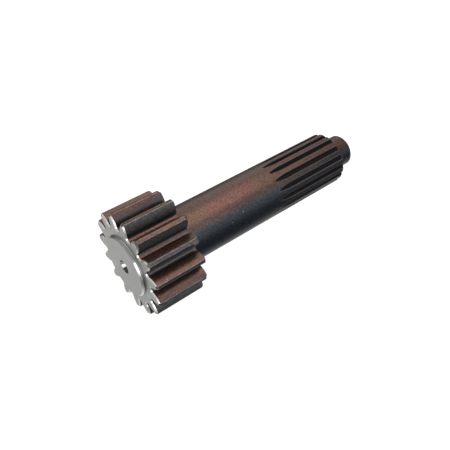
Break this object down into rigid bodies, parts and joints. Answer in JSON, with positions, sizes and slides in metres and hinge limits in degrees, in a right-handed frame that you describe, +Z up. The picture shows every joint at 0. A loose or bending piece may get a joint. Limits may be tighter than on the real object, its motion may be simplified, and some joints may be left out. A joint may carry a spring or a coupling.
{
  "type": "sun gear shaft",
  "caption": "Sun gear shaft: a spur gear with a thrust boss at one end, a plain shank, an external involute spline with run-outs and a pilot at the other.",
  "frame": {"origin": "centre of the boss face at the gear end, on the shaft's axis", "axes": "+X along the shaft from the gear towards the spline, dipping by 6.46 degrees as the part comes to rest, +Z up, +Y across"},
  "size_m": [0.1931, 0.0694, 0.0723],
  "materials": {
    "steel": "dark heat-treated and oiled, with fine turning marks and bright ground faces on the gear end"
  },
  "bodies": {
    "root": {"sun_gear_shaft": "steel"}
  },
  "joints": []
}
